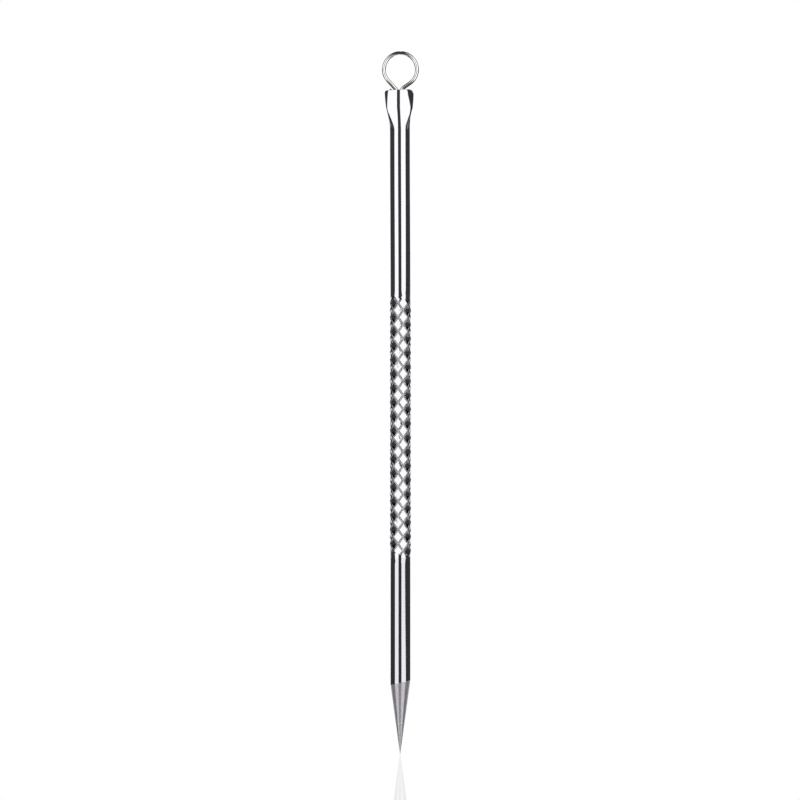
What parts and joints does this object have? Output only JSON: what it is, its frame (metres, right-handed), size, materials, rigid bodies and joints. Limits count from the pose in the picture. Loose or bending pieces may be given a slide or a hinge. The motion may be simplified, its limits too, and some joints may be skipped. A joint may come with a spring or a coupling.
{
  "type": "blackhead extractor",
  "caption": "Slim steel skin tool: a round bar with a diamond-knurled grip, a ground needle at its foot and a small wire loop pinched in its pressed head.",
  "frame": {"origin": "the needle's tip, which is the working point and the bottom centre of the tool's box", "axes": "+Z along the bar from the needle's tip to the loop, -Y out of the loop's broad front, +X to the right as seen from the front"},
  "size_m": [0.0066, 0.0038, 0.1242],
  "materials": {
    "bar_steel": "mirror-polished bar and rolled knurl, satin on the ground needle",
    "wire_steel": "bright drawn wire"
  },
  "bodies": {
    "root": {"handle_bar": "bar_steel", "wire_loop": "wire_steel"}
  },
  "joints": []
}
